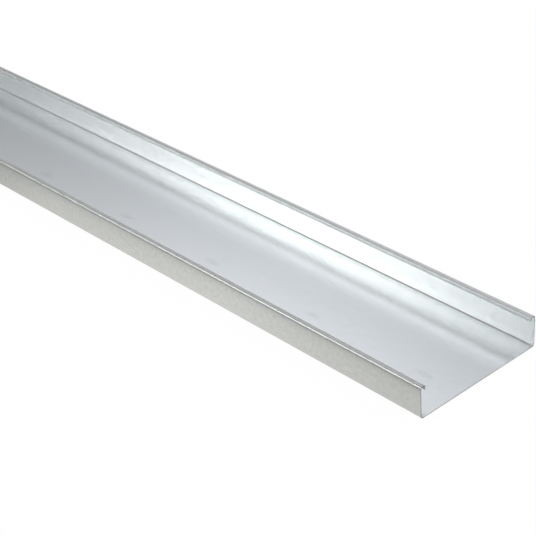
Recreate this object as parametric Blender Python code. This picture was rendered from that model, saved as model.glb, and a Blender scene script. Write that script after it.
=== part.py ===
"""Solid cable tray: one strip of pre-galvanised steel, folded into a channel with return-flange rims.

The tray runs along X and stands on its base, with the origin under the middle of the base.
Across Y the strip is folded six times: up at each edge of the base, inwards over each side,
and down again at the inner edge of each rim. The fold over the side goes a little past square, so
the rim slopes down inwards. The sheet has no holes and its ends are cut square.
"""

import math

import bmesh
import bpy
from mathutils import Vector

# Driving dimensions, in metres
TRAY_LENGTH = 2.000
TRAY_WIDTH = 0.225  # over the outer faces of the two sides
SIDE_HEIGHT = 0.050  # underside of the base to the top of the rims
SHEET_THICKNESS = 0.0012
BASE_BEND_RADIUS = 0.0035  # inside radius of the fold between base and side
RIM_WIDTH = 0.0090  # along the rim's slope, with both of its folds
RIM_BEND_RADIUS = 0.0024  # inside radius of the fold between side and rim
RETURN_DEPTH = 0.0060  # top of the rim to the cut edge of the return, along the return
RETURN_BEND_RADIUS = 0.0010  # inside radius of the fold between rim and return

RIM_TILT = math.radians(12)  # slope of the rim, down inwards; the return stays square to the rim
QUARTER_TURN = math.radians(90)
BEND_STEPS = 8  # facets in each quarter turn
SHARP_ANGLE = math.radians(40)  # cut edges stay crisp, bends are shaded round
STRIP_SHARE = 0.45  # the most of a strip's width that one fold may take up

GALVANISED_COLOUR = (0.63, 0.65, 0.66, 1.0)
GALVANISED_ROUGHNESS = 0.34


def clear_scene():
    for thing in list(bpy.data.objects):
        bpy.data.objects.remove(thing, do_unlink=True)


def outside_radius(inside_radius, *strips):
    """Radius of a fold's outer face, limited by the strips of sheet that meet in it."""
    return min(inside_radius + SHEET_THICKNESS, STRIP_SHARE * min(strips))


def folded(centre, radius, start, turn=QUARTER_TURN):
    """Stations round one fold of the sheet: pairs of points on its outer and inner face."""
    stations = []
    for step in range(BEND_STEPS + 1):
        angle = start + turn * step / BEND_STEPS
        outwards = Vector((math.cos(angle), math.sin(angle)))
        stations.append((centre + radius * outwards, centre + (radius - SHEET_THICKNESS) * outwards))
    return stations


def half_section():
    """Stations of the +Y half, from the middle of the base to the cut edge of the return.

    The flat runs need no stations of their own: each is the straight line between two folds.
    """
    side_face = TRAY_WIDTH / 2
    base_fold = outside_radius(BASE_BEND_RADIUS, side_face, SIDE_HEIGHT)
    rim_fold = outside_radius(RIM_BEND_RADIUS, SIDE_HEIGHT, RIM_WIDTH)
    return_fold = outside_radius(RETURN_BEND_RADIUS, RIM_WIDTH, RETURN_DEPTH)
    rim_way = Vector((-math.cos(RIM_TILT), -math.sin(RIM_TILT)))
    return_way = Vector((math.sin(RIM_TILT), -math.cos(RIM_TILT)))
    rim_flat = RIM_WIDTH - rim_fold - return_fold
    base_centre = Vector((side_face - base_fold, base_fold))
    rim_centre = Vector((side_face - rim_fold, SIDE_HEIGHT - rim_fold))
    return_centre = rim_centre + rim_flat * rim_way - (rim_fold - return_fold) * return_way
    cut_corner = return_centre + return_fold * rim_way + (RETURN_DEPTH - return_fold) * return_way
    return [
        (Vector((0.0, 0.0)), Vector((0.0, SHEET_THICKNESS))),
        *folded(base_centre, base_fold, -QUARTER_TURN),
        *folded(rim_centre, rim_fold, 0.0),
        *folded(rim_centre, rim_fold, QUARTER_TURN, RIM_TILT)[1:],
        *folded(return_centre, return_fold, QUARTER_TURN + RIM_TILT),
        (cut_corner, cut_corner - SHEET_THICKNESS * rim_way),
    ]


def mirrored(stations):
    """The -Y half: the same stations across the middle, without the one on it, in running order."""
    flip = Vector((-1.0, 1.0))
    return [(outer * flip, inner * flip) for outer, inner in reversed(stations[1:])]


def end_face(mesh, stations, x):
    """The square-cut end of the sheet, as one quad between each two stations."""
    corners = [
        (mesh.verts.new((x, outer.x, outer.y)), mesh.verts.new((x, inner.x, inner.y)))
        for outer, inner in stations
    ]
    for (outer, inner), (next_outer, next_inner) in zip(corners, corners[1:]):
        mesh.faces.new((outer, next_outer, next_inner, inner))


def draw_out(mesh, length):
    """Extrudes the end face along X, which closes the solid at both ends."""
    made = bmesh.ops.extrude_face_region(mesh, geom=mesh.faces[:])
    far_end = [item for item in made["geom"] if isinstance(item, bmesh.types.BMVert)]
    bmesh.ops.translate(mesh, verts=far_end, vec=Vector((length, 0.0, 0.0)))
    bmesh.ops.recalc_face_normals(mesh, faces=mesh.faces[:])


def galvanised_steel():
    material = bpy.data.materials.new("galvanised_steel")
    material.use_nodes = True
    surface = material.node_tree.nodes["Principled BSDF"]
    surface.inputs["Base Color"].default_value = GALVANISED_COLOUR
    surface.inputs["Metallic"].default_value = 1.0
    surface.inputs["Roughness"].default_value = GALVANISED_ROUGHNESS
    return material


def make_tray():
    half = half_section()
    mesh = bmesh.new()
    end_face(mesh, mirrored(half) + half, -TRAY_LENGTH / 2)
    draw_out(mesh, TRAY_LENGTH)
    data = bpy.data.meshes.new("cable_tray")
    mesh.to_mesh(data)
    mesh.free()
    data.shade_smooth()
    data.set_sharp_from_angle(angle=SHARP_ANGLE)
    data.materials.append(galvanised_steel())
    tray = bpy.data.objects.new("cable_tray", data)
    bpy.context.scene.collection.objects.link(tray)


clear_scene()
make_tray()
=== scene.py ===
"""Solid cable tray: the looks of one folded, pre-galvanised steel channel, for Blender 4.5.

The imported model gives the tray's box. The sheet is worked out again here as a fine surface,
with round folds and the slight unevenness of a rolled strip, and stands for the plain solid.
"""

import math

import bpy
import numpy as np
from mathutils import Matrix, Vector


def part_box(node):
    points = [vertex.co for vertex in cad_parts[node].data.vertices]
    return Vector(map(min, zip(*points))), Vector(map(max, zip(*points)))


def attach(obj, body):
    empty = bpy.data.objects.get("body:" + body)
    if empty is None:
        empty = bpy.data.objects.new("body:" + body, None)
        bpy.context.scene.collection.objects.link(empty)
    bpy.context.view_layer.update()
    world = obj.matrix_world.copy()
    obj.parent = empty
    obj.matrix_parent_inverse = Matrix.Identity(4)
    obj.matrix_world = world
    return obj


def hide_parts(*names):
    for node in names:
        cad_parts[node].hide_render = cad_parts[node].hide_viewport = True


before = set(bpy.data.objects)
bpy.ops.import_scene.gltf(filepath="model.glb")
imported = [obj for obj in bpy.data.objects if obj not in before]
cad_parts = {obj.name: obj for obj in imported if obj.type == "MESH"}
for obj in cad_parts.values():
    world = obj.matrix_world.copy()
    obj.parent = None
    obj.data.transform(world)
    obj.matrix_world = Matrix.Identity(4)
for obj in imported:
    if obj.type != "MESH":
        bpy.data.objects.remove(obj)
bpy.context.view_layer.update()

scene = bpy.context.scene


# Cable tray: one strip of galvanised steel 1.2 mm thick, roll-formed into a channel whose rims slope
# a little inwards and are turned down at their inner edges. The strip is a middle surface, a fold
# line swept along the tray, and gets its thickness and its sheared edges afterwards.
SHEET_THICKNESS = 0.0012
BASE_BEND_RADIUS = 0.0035  # all the bend radii are inside radii
RIM_WIDTH = 0.0090
RIM_BEND_RADIUS = 0.0024
RIM_TILT = math.radians(12)  # slope of the rim, down inwards
RETURN_DEPTH = 0.0060
RETURN_BEND_RADIUS = 0.0010
RETURN_TILT = math.radians(8)  # off plumb, with the cut edge back towards the side
EDGE_ROUNDING = 0.00015
EDGE_SEGMENTS = 2
CUT_EDGE_ANGLE = math.radians(60)  # only the cut edges are sharper
ARC_STEPS = 12
STRIP_STEP = 0.0125
FEWEST_STEPS = 2
LENGTH_STEPS = 200
QUARTER_TURN = math.pi / 2
BOW_HEIGHT = 0.000015
BOW_WAVES = (  # size, waves along the tray and along the strip in radians a metre, and start
    (1.00, 5.1, 7.0, 0.4),
    (0.60, 11.3, -9.0, 1.9),
    (0.35, 23.7, 15.0, 3.1),
)

tray_low, tray_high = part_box("cable_tray")
tray_length = tray_high.x - tray_low.x
tray_width = tray_high.y - tray_low.y
tray_height = tray_high.z - tray_low.z


def strip_runs():
    """Length and turn of each run of the strip's middle line, from one cut edge to the other.

    A flat run has no turn. A fold's length is its turn times the radius at the middle of the
    sheet. Both sides are alike, so the runs read the same from either end.
    """
    half = SHEET_THICKNESS / 2
    base_fold = BASE_BEND_RADIUS + SHEET_THICKNESS
    rim_fold = RIM_BEND_RADIUS + SHEET_THICKNESS
    return_fold = RETURN_BEND_RADIUS + SHEET_THICKNESS
    rim_turn = QUARTER_TURN + RIM_TILT
    return_turn = QUARTER_TURN - RIM_TILT + RETURN_TILT
    side = [
        (RETURN_DEPTH - return_fold, 0.0),
        (return_turn * (return_fold - half), return_turn),
        (RIM_WIDTH - return_fold - rim_fold, 0.0),
        (rim_turn * (rim_fold - half), rim_turn),
        (tray_height - rim_fold - base_fold, 0.0),
        (QUARTER_TURN * (base_fold - half), QUARTER_TURN),
    ]
    base = (tray_width - 2 * base_fold, 0.0)
    return side + [base] + side[::-1]


def along_strip(runs, distance):
    """Points (y, z), headings and unevenness weights of the middle line at the given distances.

    The line is the sum of what each run adds: a flat adds its travelled length along the heading,
    and a fold of radius r adds r times the change in the heading's sine and cosine. The weight is
    the squared sine of the way along a flat that is wider than a rim, and none elsewhere, so the
    base and the sides can bow between their stiff folds. The line starts at the origin and is then
    moved to lie midway between the sides and on the base.
    """
    y = np.zeros_like(distance)
    z = np.zeros_like(distance)
    start, start_heading = 0.0, QUARTER_TURN - RETURN_TILT
    heading = np.full_like(distance, start_heading)
    weight = np.zeros_like(distance)
    for length, turn in runs:
        travelled = np.clip(distance - start, 0.0, length)
        if turn:
            radius = length / turn
            now = start_heading + travelled / radius
            y += radius * (np.sin(now) - math.sin(start_heading))
            z += radius * (math.cos(start_heading) - np.cos(now))
            heading += travelled / radius
        else:
            y += travelled * math.cos(start_heading)
            z += travelled * math.sin(start_heading)
            weight += np.sin(np.pi * travelled / length) ** 2 * (length > RIM_WIDTH)
        start += length
        start_heading += turn
    y += (tray_low.y + tray_high.y - y[0] - y[-1]) / 2
    z += tray_low.z + SHEET_THICKNESS / 2 - z.min()
    return y, z, heading, weight


def strip_distances(runs):
    """Distances of the grid's lines along the strip: close together in folds, wide on flats."""
    marks = [np.zeros(1)]
    start = 0.0
    for length, turn in runs:
        steps = ARC_STEPS if turn else max(FEWEST_STEPS, math.ceil(length / STRIP_STEP))
        marks.append(start + length * np.arange(1, steps + 1) / steps)
        start += length
    return np.concatenate(marks)


def rolled_bow(x, distance):
    """Height of the sheet's unevenness: slow sine waves along and across the strip.

    Each wave is its size times the sine of a sum: the two distances, each times its own count of
    radians a metre, and the start. The sizes are added to the waves, so the bow is always inwards.
    """
    waves = sum(
        size * np.sin(along * x + across * distance + start)
        for size, along, across, start in BOW_WAVES
    )
    return BOW_HEIGHT * (sum(wave[0] for wave in BOW_WAVES) + waves)


def swept_strip(name):
    """A grid over (along the tray, along the strip), with the sheet's bow added along its normal."""
    runs = strip_runs()
    distance = strip_distances(runs)
    y, z, heading, weight = along_strip(runs, distance)
    x = np.linspace(tray_low.x, tray_high.x, LENGTH_STEPS + 1)
    bow = rolled_bow(x[:, None], distance[None, :]) * weight
    points = np.empty((len(x), len(distance), 3))
    points[..., 0] = x[:, None]
    points[..., 1] = y - bow * np.sin(heading)
    points[..., 2] = z + bow * np.cos(heading)
    index = np.arange(points.shape[0] * points.shape[1]).reshape(points.shape[:2])
    corners = (index[:-1, :-1], index[1:, :-1], index[1:, 1:], index[:-1, 1:])
    faces = np.stack([corner.ravel() for corner in corners], axis=1)
    data = bpy.data.meshes.new(name)
    data.from_pydata(points.reshape(-1, 3), [], faces.tolist())
    data.shade_smooth()
    strip = bpy.data.objects.new(name, data)
    scene.collection.objects.link(strip)
    return strip


def give_thickness(strip):
    """Sheet thickness to both sides of the middle surface, and a little rounding on the cut edges."""
    solid = strip.modifiers.new("sheet thickness", "SOLIDIFY")
    solid.thickness = SHEET_THICKNESS
    solid.offset = 0.0
    solid.use_even_offset = True
    solid.material_offset_rim = 1
    rounded = strip.modifiers.new("sheared edge", "BEVEL")
    rounded.width = EDGE_ROUNDING
    rounded.segments = EDGE_SEGMENTS
    rounded.limit_method = "ANGLE"
    rounded.angle_limit = CUT_EDGE_ANGLE
    rounded.harden_normals = True


class Socket:
    """A node's output socket, on which a Python expression adds Math nodes."""

    def __init__(self, nodes, source):
        self.nodes = nodes
        self.source = source

    def maths(self, operation, first, second):
        node = self.nodes.tree.nodes.new("ShaderNodeMath")
        node.operation = operation
        self.nodes.feed(node.inputs[0], first)
        self.nodes.feed(node.inputs[1], second)
        return Socket(self.nodes, node.outputs[0])

    def __add__(self, other):
        return self.maths("ADD", self, other)

    def __sub__(self, other):
        return self.maths("SUBTRACT", self, other)

    def __rsub__(self, other):
        return self.maths("SUBTRACT", other, self)

    def __mul__(self, other):
        return self.maths("MULTIPLY", self, other)

    def __truediv__(self, other):
        return self.maths("DIVIDE", self, other)

    def __mod__(self, other):
        return self.maths("FLOORED_MODULO", self, other)

    __radd__ = __add__


class Nodes:
    """The node tree of one material or world."""

    def __init__(self, owner):
        owner.use_nodes = True
        self.tree = owner.node_tree
        self.tree.nodes.clear()

    def feed(self, place, value):
        if isinstance(value, Socket):
            self.tree.links.new(value.source, place)
        else:
            place.default_value = value

    def add(self, kind, settings=None, output=0, **inputs):
        """One node: its settings are set first, then each input by its name, as a value or a link.

        An input is named in lower case with underscores, and a second input of the same name has
        one more underscore at its end.
        """
        node = self.tree.nodes.new(kind)
        for name, value in (settings or {}).items():
            if name == "stops":
                self.fill_ramp(node.color_ramp, value)
            else:
                setattr(node, name, value)
        for name, value in inputs.items():
            alike = [place for place in node.inputs
                     if place.enabled and place.name.lower().replace(" ", "_") == name.rstrip("_")]
            self.feed(alike[name.endswith("_")], value)
        return Socket(self, node.outputs[output]) if len(node.outputs) else None

    def fill_ramp(self, ramp, stops):
        while len(ramp.elements) < len(stops):
            ramp.elements.new(1.0)
        for element, (position, grey) in zip(ramp.elements, stops):
            element.position = position
            element.color = (grey, grey, grey, 1.0)

    def mix(self, factor, first, second):
        """Mix of two colours, which are sockets or plain colours."""
        return self.add("ShaderNodeMix", {"data_type": "RGBA"}, 2, factor=factor, a=first, b=second)

    def step(self, value, low, high):
        """Smooth step from 0 to 1 as the value goes from low to high, which may also be the lower."""
        return self.add(
            "ShaderNodeMapRange",
            {"interpolation_type": "SMOOTHSTEP"},
            value=value,
            from_min=low,
            from_max=high,
        )


ZINC_BRIGHT = (0.93, 0.981, 0.998, 1.0)
ZINC_DULL = (0.74, 0.783, 0.796, 1.0)
ZINC_ROUGHNESS = 0.255
ZINC_ROUGHNESS_SPREAD = 0.03
RIM_ROUGHNESS = 0.36
RIM_START = (0.0425, 0.0460)  # heights between which the rims' roughness sets in
HAZE_SHARE = 0.20
HAZE_ROUGHNESS = 0.46
CLOUD_NOISE = {"scale": 150.0, "detail": 3.0, "roughness": 0.7}
BASE_CLOUDINESS = 0.48
SIDE_CLOUDINESS = 1.36
SIDE_START = (0.003, 0.009)  # heights between which the sides' cloudiness sets in
GRAIN_STRETCH = (4.0, 240.0, 240.0)
GRAIN_NOISE = {"scale": 1.0, "detail": 2.0, "roughness": 0.5}
GRAIN_DEPTH = 0.16
MARK_PITCH = 0.2175
MARK_LENGTH = 0.030
MARK_WIDTH = 0.011
MARK_PLACE = (0.720, -0.038)
MARK_FADE = (1.8, 0.1)  # squared distance, in half sizes, where a smudge starts and where it is full
MARK_DEPTH = 0.27


def zinc_coating():
    """Pre-galvanised sheet: bright zinc under a thin haze, cloudier on the sides, with rolled grain.

    The rims are rougher. A dull smudge marks the base wherever the same spot of a roll came down on
    it. Each noise varies about a half, which is taken off before it is scaled.
    """
    material = bpy.data.materials.new("galvanised_sheet")
    nodes = Nodes(material)
    place = nodes.add("ShaderNodeTexCoord", output="Object")
    drawn = nodes.add("ShaderNodeMapping", vector=place, scale=GRAIN_STRETCH)
    grain = nodes.add("ShaderNodeTexNoise", vector=drawn, **GRAIN_NOISE)
    cloud = nodes.add("ShaderNodeTexNoise", vector=place, **CLOUD_NOISE)
    x = nodes.add("ShaderNodeSeparateXYZ", output="X", vector=place)
    y = nodes.add("ShaderNodeSeparateXYZ", output="Y", vector=place)
    z = nodes.add("ShaderNodeSeparateXYZ", output="Z", vector=place)
    cloudiness = BASE_CLOUDINESS + nodes.step(z, *SIDE_START) * (SIDE_CLOUDINESS - BASE_CLOUDINESS)
    middle_x, middle_y = MARK_PLACE
    along = ((x - middle_x + MARK_PITCH / 2) % MARK_PITCH - MARK_PITCH / 2) / (MARK_LENGTH / 2)
    across = (y - middle_y) / (MARK_WIDTH / 2)
    mark = nodes.step(along * along + across * across, *MARK_FADE)
    dull = 0.5 + (cloud - 0.5) * cloudiness + (grain - 0.5) * GRAIN_DEPTH + mark * MARK_DEPTH
    colour = nodes.mix(dull, ZINC_BRIGHT, ZINC_DULL)
    gloss_roughness = ZINC_ROUGHNESS + nodes.step(z, *RIM_START) * (RIM_ROUGHNESS - ZINC_ROUGHNESS)
    gloss = nodes.add(
        "ShaderNodeBsdfPrincipled",
        base_color=colour,
        metallic=1.0,
        roughness=gloss_roughness + (cloud - 0.5) * ZINC_ROUGHNESS_SPREAD,
    )
    haze = nodes.add(
        "ShaderNodeBsdfPrincipled", base_color=colour, metallic=1.0, roughness=HAZE_ROUGHNESS
    )
    shader = nodes.add("ShaderNodeMixShader", fac=HAZE_SHARE, shader=gloss, shader_=haze)
    nodes.add("ShaderNodeOutputMaterial", surface=shader)
    return material


CUT_STEEL = (0.26, 0.26, 0.26, 1.0)
CUT_STEEL_SMEARED = (0.40, 0.40, 0.41, 1.0)
CUT_STEEL_ROUGHNESS = 0.45
CUT_STEEL_ROUGHNESS_SPREAD = 0.2
SMEAR_NOISE = {"scale": 900.0, "detail": 3.0, "roughness": 0.6}
SMEAR_BUMP = {"strength": 0.25, "distance": 0.0002}


def sheared_steel():
    """The cut edges: bare steel, duller than the zinc, with streaks of coating dragged over them."""
    material = bpy.data.materials.new("sheared_edge")
    nodes = Nodes(material)
    place = nodes.add("ShaderNodeTexCoord", output="Object")
    smear = nodes.add("ShaderNodeTexNoise", vector=place, **SMEAR_NOISE)
    bump = nodes.add("ShaderNodeBump", height=smear, **SMEAR_BUMP)
    shader = nodes.add(
        "ShaderNodeBsdfPrincipled",
        base_color=nodes.mix(smear, CUT_STEEL, CUT_STEEL_SMEARED),
        metallic=1.0,
        roughness=CUT_STEEL_ROUGHNESS + (smear - 0.5) * CUT_STEEL_ROUGHNESS_SPREAD,
        normal=bump,
    )
    nodes.add("ShaderNodeOutputMaterial", surface=shader)
    return material


tray = swept_strip("folded_tray")
tray.data.materials.append(zinc_coating())
tray.data.materials.append(sheared_steel())
give_thickness(tray)
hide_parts("cable_tray")
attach(tray, "root")


# Studio floor: a wide sweep of white paper under the tray. The camera sees it as white. The metal
# sees a painted glow on it, a shade warmer: a painted pool of light beside the tray, less so to the
# left, and dark farther away. A part of it stays plain diffuse for the tray's shadow.
FLOOR_HALF = 40.0
FLOOR_DROP = 0.0005
PAPER_WHITE = (0.90, 0.90, 0.89, 1.0)
PAPER_TO_CAMERA = (1.03, 1.03, 1.03, 1.0)
# Painted light: the tint, reach and ramp of the glow that only the metal sees on the paper.
PAPER_PAINTED_LIGHT_TINT = (1.043, 1.0, 0.94)
PAPER_PAINTED_LIGHT_REACH = (0.035, 0.10)  # distances from the sides between which the light on it falls off
PAPER_FAR_PAINTED_LIGHT = 0.11
PAPER_PAINTED_LIGHT = ((0.15, 0.155), (0.35, 0.255), (0.575, 0.645), (0.80, 0.73), (1.00, 0.595))
PAPER_GLOWING_SHARE = 0.93


def paper():
    """White paper, whose painted glow for the metal, a painted pool of light beside the tray, is a ramp
    over the tray's length from its left end.
    """
    material = bpy.data.materials.new("white_paper")
    nodes = Nodes(material)
    place = nodes.add("ShaderNodeTexCoord", output="Object")
    x = nodes.add("ShaderNodeSeparateXYZ", output="X", vector=place)
    y = nodes.add("ShaderNodeSeparateXYZ", output="Y", vector=place)
    aside = y.maths("ABSOLUTE", y, 0.0) - tray_high.y
    way_along = (x - tray_low.x) / tray_length
    # Painted light: the glow's level beside the tray is a ramp along the tray, and it fades farther
    # away.
    beside = nodes.add("ShaderNodeValToRGB", {"stops": PAPER_PAINTED_LIGHT}, fac=way_along)
    level = beside + nodes.step(aside, *PAPER_PAINTED_LIGHT_REACH) * (PAPER_FAR_PAINTED_LIGHT - beside)
    painted_light_for_metal = nodes.add(
        "ShaderNodeVectorMath", {"operation": "MULTIPLY"}, vector=level, vector_=PAPER_PAINTED_LIGHT_TINT
    )
    camera = nodes.add("ShaderNodeLightPath", output="Is Camera Ray")
    glossy = nodes.add("ShaderNodeLightPath", output="Is Glossy Ray")
    through = nodes.add("ShaderNodeLightPath", output="Is Transmission Ray")
    flat = nodes.add("ShaderNodeBsdfDiffuse", color=PAPER_WHITE)
    # The emission is plain white to the camera, and a painted pool of light to the metal.
    white = nodes.add(
        "ShaderNodeEmission", color=nodes.mix(camera, painted_light_for_metal, PAPER_TO_CAMERA), strength=1.0
    )
    share = (camera + glossy + through) * PAPER_GLOWING_SHARE
    nodes.add(
        "ShaderNodeOutputMaterial",
        surface=nodes.add("ShaderNodeMixShader", fac=share, shader=flat, shader_=white),
    )
    return material


def sweep():
    data = bpy.data.meshes.new("studio_floor")
    corners = [(-1, -1), (1, -1), (1, 1), (-1, 1)]
    level = tray_low.z - FLOOR_DROP
    points = [(x * FLOOR_HALF, y * FLOOR_HALF, level) for x, y in corners]
    data.from_pydata(points, [], [(0, 1, 2, 3)])
    data.materials.append(paper())
    floor = bpy.data.objects.new("studio_floor", data)
    scene.collection.objects.link(floor)


sweep()


# Studio room: plain pale walls, and on the left panels of light that hang parallel to the tray, with
# dark between and under them, which draws the lines along the folds. The base mirrors those past its
# far side, and the bright one on the near side lights the far side. The camera sees plain white.
ROOM_GREY = 0.74
# A panel is its strength, its brightness by the degrees up from the far horizon, its brightness by
# how far a direction of length 1 reaches to the left, and its tint.
FAR_LOW = (
    0.91,
    ((0, 0.00), (14, 1.00), (28, 0.00)),
    ((0.50, 1.00), (0.82, 0.90)),
    (1.08, 1.00, 0.90),
)
FAR_BANK = (
    1.73,
    ((38, 0.00), (48, 1.00), (60, 0.00)),
    ((0.50, 0.73), (0.58, 1.00), (0.66, 1.03), (0.74, 0.51), (0.82, 0.28)),
    (1.02, 1.01, 1.05),
)
FAR_HIGH = (
    1.02,
    ((48, 0.00), (60, 1.00), (74, 0.00)),
    ((0.50, 0.45), (0.58, 0.85), (0.66, 1.00), (0.74, 0.70), (0.82, 0.50)),
    (1.02, 1.00, 0.97),
)
CEILING = (
    0.92,
    ((66, 0.00), (90, 0.30), (104, 0.45), (118, 1.00), (128, 0.00)),
    ((0.50, 0.25), (0.58, 0.93), (0.66, 1.00), (0.74, 0.45), (0.82, 0.10)),
    (1.02, 1.00, 0.95),
)
NEAR_BANK = (
    7.00,
    ((118, 0.00), (128, 0.12), (138, 0.78), (150, 0.92), (164, 0.40), (180, 0.00)),
    ((0.50, 0.00), (0.58, 0.47), (0.66, 1.00), (0.70, 0.38), (0.74, 0.00)),
    (1.06, 1.01, 0.99),
)
HALF_TURN_DEGREES = 180
LEFT_START = (-0.20, -0.44)  # x of the directions between which the walls give way to the panels
LEFT_END = (-0.94, -0.84)  # x from the wall straight along the tray to the panels beside it
WHITE = (1.0, 1.0, 1.0, 1.0)


def room():
    """Light by direction: rise is the angle up from the far horizon, as a share of a half turn.

    A panel's light is one ramp over the rise times one over the way leftwards, its strength and its
    tint. The panels' sum shows where the direction leans left, apart from straight along the tray.
    """
    world = bpy.data.worlds.new("studio_room")
    nodes = Nodes(world)
    way = nodes.add("ShaderNodeTexCoord", output="Generated")
    along = nodes.add("ShaderNodeSeparateXYZ", output="X", vector=way)
    beside = nodes.add("ShaderNodeSeparateXYZ", output="Y", vector=way)
    height = nodes.add("ShaderNodeSeparateXYZ", output="Z", vector=way)
    rise = height.maths("ARCTAN2", height, beside) / math.pi
    leftwards = 0.0 - along
    panels = (0.0, 0.0, 0.0)
    for strength, over, across, tint in (FAR_LOW, FAR_BANK, FAR_HIGH, CEILING, NEAR_BANK):
        angles = [(degrees / HALF_TURN_DEGREES, grey) for degrees, grey in over]
        light = (
            nodes.add("ShaderNodeValToRGB", {"stops": angles}, fac=rise)
            * nodes.add("ShaderNodeValToRGB", {"stops": across}, fac=leftwards)
            * strength
        )
        tinted = nodes.add("ShaderNodeVectorMath", {"operation": "MULTIPLY"}, vector=light, vector_=tint)
        panels = nodes.add("ShaderNodeVectorMath", {"operation": "ADD"}, vector=panels, vector_=tinted)
    walls = (ROOM_GREY, ROOM_GREY, ROOM_GREY, 1.0)
    hung = nodes.step(along, *LEFT_START) * nodes.step(along, *LEFT_END)
    seen = nodes.mix(hung, walls, panels)
    camera = nodes.add("ShaderNodeLightPath", output="Is Camera Ray")
    background = nodes.add("ShaderNodeBackground", color=nodes.mix(camera, seen, WHITE), strength=1.0)
    nodes.add("ShaderNodeOutputWorld", surface=background)
    scene.world = world


room()


# Camera: a long lens above the near right end of the tray, looking along it to the upper left.
# It is placed from the near end's lower outer corner, in metres.
CAMERA_FROM_CORNER = Vector((1.0920, -1.1512, 1.1967))
CAMERA_HEADING = math.radians(-50.005)
CAMERA_DIP = math.radians(31.167)
CAMERA_ROLL = math.radians(-4.402)
CAMERA_FOCAL_PIXELS = 1540.1
CAMERA_REACH = 200.0
PICTURE_SIDE = 536
SENSOR_WIDTH = 36.0


def camera():
    lens = bpy.data.cameras.new("camera")
    lens.sensor_width = SENSOR_WIDTH
    lens.lens = CAMERA_FOCAL_PIXELS / PICTURE_SIDE * SENSOR_WIDTH
    lens.clip_end = CAMERA_REACH
    ahead = Vector((
        math.cos(CAMERA_DIP) * math.sin(CAMERA_HEADING),
        math.cos(CAMERA_DIP) * math.cos(CAMERA_HEADING),
        -math.sin(CAMERA_DIP),
    ))
    level = Vector((math.cos(CAMERA_HEADING), -math.sin(CAMERA_HEADING), 0.0))
    upright = level.cross(ahead)
    right = math.cos(CAMERA_ROLL) * level + math.sin(CAMERA_ROLL) * upright
    up = math.cos(CAMERA_ROLL) * upright - math.sin(CAMERA_ROLL) * level
    corner = Vector((tray_high.x, tray_low.y, tray_low.z))
    stand = bpy.data.objects.new("camera", lens)
    stand.matrix_world = (
        Matrix.Translation(corner + CAMERA_FROM_CORNER)
        @ Matrix((right, up, -ahead)).transposed().to_4x4()
    )
    scene.collection.objects.link(stand)
    scene.camera = stand


camera()

scene.view_settings.view_transform = "Standard"
